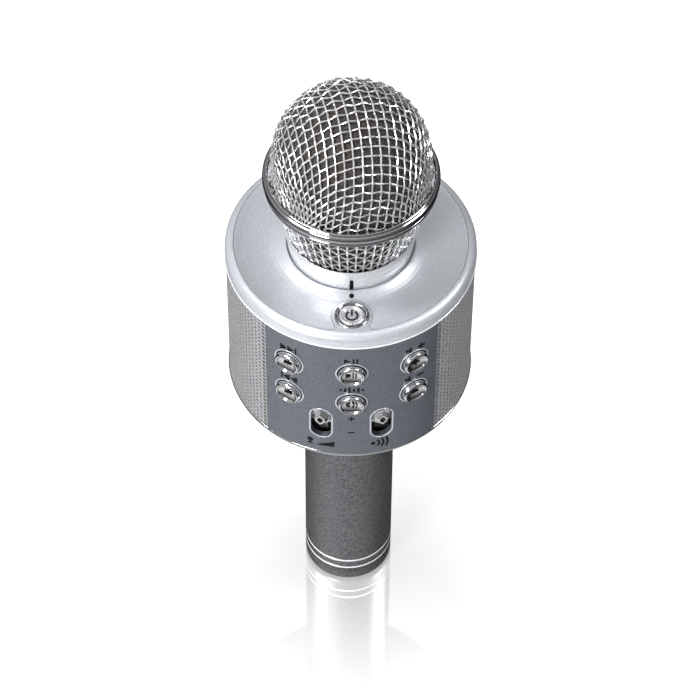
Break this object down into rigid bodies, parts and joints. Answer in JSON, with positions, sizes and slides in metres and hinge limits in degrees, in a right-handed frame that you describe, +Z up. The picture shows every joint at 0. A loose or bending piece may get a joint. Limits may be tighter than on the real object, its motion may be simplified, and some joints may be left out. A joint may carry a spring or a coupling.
{
  "type": "karaoke microphone",
  "caption": "Cordless handheld karaoke microphone with a woven ball head, a short speaker drum with a button panel, and a slim metal handle.",
  "frame": {"origin": "centre of the handle's flat foot, on the surface that it stands on", "axes": "+Z up the handle towards the head, -Y out of the control panel, +X to the panel's right as seen by someone facing it"},
  "size_m": [0.0803, 0.0818, 0.233],
  "materials": {
    "handle_finish": "satin",
    "bright_trim": "polished",
    "silver_paint": "satin",
    "base_paint": "satin",
    "panel_paint": "satin",
    "grille_sheet": "satin",
    "woven_wire": "polished",
    "foam": "matte",
    "plated_button": "polished",
    "black_plastic": "matte",
    "circuit_board": "satin",
    "steel_fittings": "satin",
    "speaker_steel": "satin",
    "speaker_paper": "matte",
    "cell_wrap": "gloss",
    "rubber": "matte",
    "lamp_lens": "gloss"
  },
  "bodies": {
    "microphone_body": {"audio_jack_socket": "black_plastic", "battery_cell": "cell_wrap", "battery_pad": "rubber", "battery_protection_board": "circuit_board", "battery_sleeve": "black_plastic", "battery_wires": "rubber", "bead_ring_lower": "bright_trim", "bead_ring_upper": "bright_trim", "bluetooth_module": "steel_fittings", "board_screws": "steel_fittings", "capsule_cradle": "black_plastic", "card_slot": "steel_fittings", "case_screws": "steel_fittings", "charge_led": "lamp_lens", "chassis_frame": "black_plastic", "control_board": "circuit_board", "drum_base": "base_paint", "drum_top_rim": "silver_paint", "echo_fader": "steel_fittings", "front_panel": "panel_paint", "grille_left": "grille_sheet", "grille_right": "grille_sheet", "handle_band": "handle_finish", "handle_end_cap": "handle_finish", "handle_tube": "handle_finish", "key_board_left": "circuit_board", "key_board_right": "circuit_board", "main_board": "circuit_board", "mic_capsule": "steel_fittings", "mic_volume_fader": "steel_fittings", "neck_socket": "black_plastic", "power_bezel": "plated_button", "power_switch_board": "circuit_board", "rear_panel": "panel_paint", "speaker_cone_left": "speaker_paper", "speaker_cone_right": "speaker_paper", "speaker_frame_left": "speaker_steel", "speaker_frame_right": "speaker_steel", "speaker_magnet_left": "steel_fittings", "speaker_magnet_right": "steel_fittings", "tact_switches": "black_plastic", "top_cover": "silver_paint", "trim_ring_lower": "bright_trim", "trim_ring_upper": "bright_trim", "usb_socket": "steel_fittings"},
    "head": {"neck_collar": "silver_paint", "lower_basket": "woven_wire", "hoop_ring": "bright_trim", "dome_mesh": "woven_wire", "foam_windscreen": "foam"},
    "button_next_cap": {"button_next": "plated_button"},
    "button_previous_cap": {"button_previous": "plated_button"},
    "button_play_pause_cap": {"button_play_pause": "plated_button"},
    "button_voice_cap": {"button_voice": "plated_button"},
    "button_volume_up_cap": {"button_volume_up": "plated_button"},
    "button_volume_down_cap": {"button_volume_down": "plated_button"},
    "power_button_cap": {"power_button": "plated_button"},
    "mic_volume_slider": {"mic_volume_knob": "plated_button"},
    "echo_slider": {"echo_knob": "plated_button"}
  },
  "joints": [
    {"name": "head_twist", "type": "hinge", "parent": "microphone_body", "child": "head", "pos_m": [0, 0, 0.17], "axis": [0, 0, 1], "range_deg": [0, 36]},
    {"name": "button_next_press", "type": "slide", "parent": "microphone_body", "child": "button_next_cap", "axis": [0.5, 0.866, 0], "range_m": [0, 0.0008], "stiffness_N_per_m": 1000, "springref_m": -0.0004},
    {"name": "button_previous_press", "type": "slide", "parent": "microphone_body", "child": "button_previous_cap", "axis": [0.5, 0.866, 0], "range_m": [0, 0.0008], "stiffness_N_per_m": 1000, "springref_m": -0.0004},
    {"name": "button_play_pause_press", "type": "slide", "parent": "microphone_body", "child": "button_play_pause_cap", "axis": [0, 1, 0], "range_m": [0, 0.0008], "stiffness_N_per_m": 1000, "springref_m": -0.0004},
    {"name": "button_voice_press", "type": "slide", "parent": "microphone_body", "child": "button_voice_cap", "axis": [0, 1, 0], "range_m": [0, 0.0008], "stiffness_N_per_m": 1000, "springref_m": -0.0004},
    {"name": "button_volume_up_press", "type": "slide", "parent": "microphone_body", "child": "button_volume_up_cap", "axis": [-0.5, 0.866, 0], "range_m": [0, 0.0008], "stiffness_N_per_m": 1000, "springref_m": -0.0004},
    {"name": "button_volume_down_press", "type": "slide", "parent": "microphone_body", "child": "button_volume_down_cap", "axis": [-0.5, 0.866, 0], "range_m": [0, 0.0008], "stiffness_N_per_m": 1000, "springref_m": -0.0004},
    {"name": "power_button_press", "type": "slide", "parent": "microphone_body", "child": "power_button_cap", "axis": [0, 0, -1], "range_m": [0, 0.0008], "stiffness_N_per_m": 1000, "springref_m": -0.0004},
    {"name": "mic_volume_slide", "type": "slide", "parent": "microphone_body", "child": "mic_volume_slider", "axis": [0, 0, 1], "range_m": [-0.006, 0]},
    {"name": "echo_slide", "type": "slide", "parent": "microphone_body", "child": "echo_slider", "axis": [0, 0, 1], "range_m": [-0.006, 0]}
  ]
}
